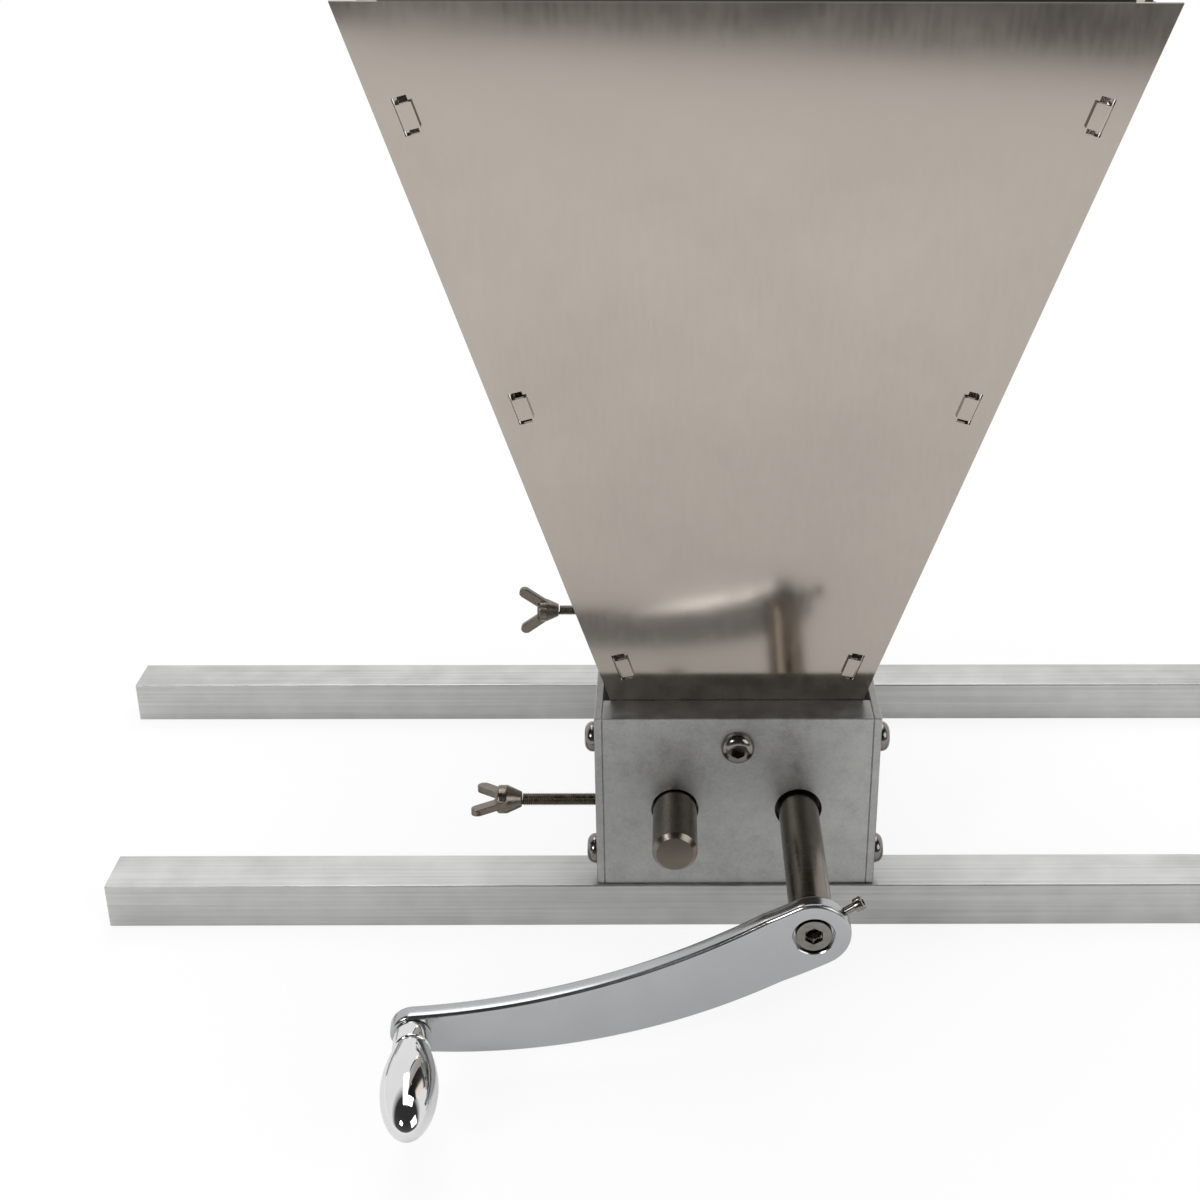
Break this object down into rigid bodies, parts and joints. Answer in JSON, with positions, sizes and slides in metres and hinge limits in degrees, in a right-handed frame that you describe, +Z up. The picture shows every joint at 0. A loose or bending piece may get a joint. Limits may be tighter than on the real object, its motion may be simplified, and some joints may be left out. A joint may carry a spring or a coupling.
{
  "type": "grain mill",
  "caption": "Hand-cranked grain mill: tapered sheet hopper over a plate body with fluted rollers, eccentric gap adjusters, bowed crank with spinning grip, and square rails to rest on a bucket.",
  "frame": {"origin": "underside of the front rail, in the middle of the body's width", "axes": "+X to the user's right along the rails, +Y away from the user, +Z up"},
  "size_m": [0.47, 0.276, 0.2997],
  "materials": {
    "plate_aluminium": "milled, fine satin",
    "rail_aluminium": "extruded, satin with fine lengthwise lines",
    "hopper_stainless": "smooth rolled stainless sheet, soft reflections",
    "roller_steel": "fluted steel, machined",
    "turned_steel": "turned steel, fine rings",
    "bush_iron": "sintered iron, dark with oil",
    "arm_satin": "satin chrome",
    "grip_chrome": "mirror chrome",
    "wing_nickel": "nickel plated",
    "screw_steel": "bright stainless"
  },
  "bodies": {
    "frame": {"front_plate": "plate_aluminium", "back_plate": "plate_aluminium", "left_side_plate": "plate_aluminium", "right_side_plate": "plate_aluminium", "left_front_lower_screw": "screw_steel", "left_front_upper_screw": "screw_steel", "left_back_lower_screw": "screw_steel", "left_back_upper_screw": "screw_steel", "right_front_lower_screw": "screw_steel", "right_front_upper_screw": "screw_steel", "right_back_lower_screw": "screw_steel", "right_back_upper_screw": "screw_steel", "front_rail": "rail_aluminium", "back_rail": "rail_aluminium", "front_rail_left_screw": "screw_steel", "front_rail_right_screw": "screw_steel", "back_rail_right_screw": "screw_steel", "back_rail_left_screw": "screw_steel", "hopper_front_sheet": "hopper_stainless", "hopper_back_sheet": "hopper_stainless", "hopper_left_sheet": "hopper_stainless", "hopper_right_sheet": "hopper_stainless", "hopper_front_screw": "screw_steel", "hopper_back_screw": "screw_steel", "hopper_front_nut": "screw_steel", "hopper_back_nut": "screw_steel", "drive_bush_front": "bush_iron", "drive_bush_back": "bush_iron"},
    "crank": {"drive_roller": "roller_steel", "drive_shaft": "turned_steel", "crank_arm": "arm_satin", "crank_bolt": "screw_steel", "crank_set_screw": "screw_steel", "grip_spindle": "screw_steel"},
    "grip": {"grip": "grip_chrome"},
    "front_adjuster": {"front_adjuster": "turned_steel"},
    "back_adjuster": {"back_adjuster": "turned_steel"},
    "idler": {"idler_roller": "roller_steel", "idler_shaft": "turned_steel"},
    "front_wing_screw": {"front_wing_screw": "wing_nickel"},
    "back_wing_screw": {"back_wing_screw": "wing_nickel"}
  },
  "joints": [
    {"name": "crank_turn", "type": "hinge", "parent": "frame", "child": "crank", "pos_m": [0.0197, 0.0617, 0.0449], "axis": [0, 1, 0], "continuous": true},
    {"name": "grip_spin", "type": "hinge", "parent": "crank", "child": "grip", "pos_m": [-0.09338, -0.0795, 0.02189], "axis": [-0.1194, 0.9925, -0.0243], "continuous": true},
    {"name": "front_adjust", "type": "hinge", "parent": "frame", "child": "front_adjuster", "pos_m": [-0.0197, -0.0068, 0.0449], "axis": [0, 1, 0], "range_deg": [-90, 90]},
    {"name": "back_adjust", "type": "hinge", "parent": "frame", "child": "back_adjuster", "pos_m": [-0.0197, 0.1302, 0.0449], "axis": [0, 1, 0], "range_deg": [-90, 90]},
    {"name": "idler_spin", "type": "hinge", "parent": "front_adjuster", "child": "idler", "pos_m": [-0.0197, 0.0617, 0.0457], "axis": [0, 1, 0], "continuous": true},
    {"name": "front_lock", "type": "hinge", "parent": "frame", "child": "front_wing_screw", "pos_m": [-0.045, -0.0013, 0.0449], "axis": [-1, 0, 0], "range_deg": [0, 360]},
    {"name": "back_lock", "type": "hinge", "parent": "frame", "child": "back_wing_screw", "pos_m": [-0.045, 0.1247, 0.0449], "axis": [-1, 0, 0], "range_deg": [0, 360]}
  ],
  "couplings": [
    {"joint": "back_adjust", "follows": "front_adjust", "ratio": 1}
  ]
}
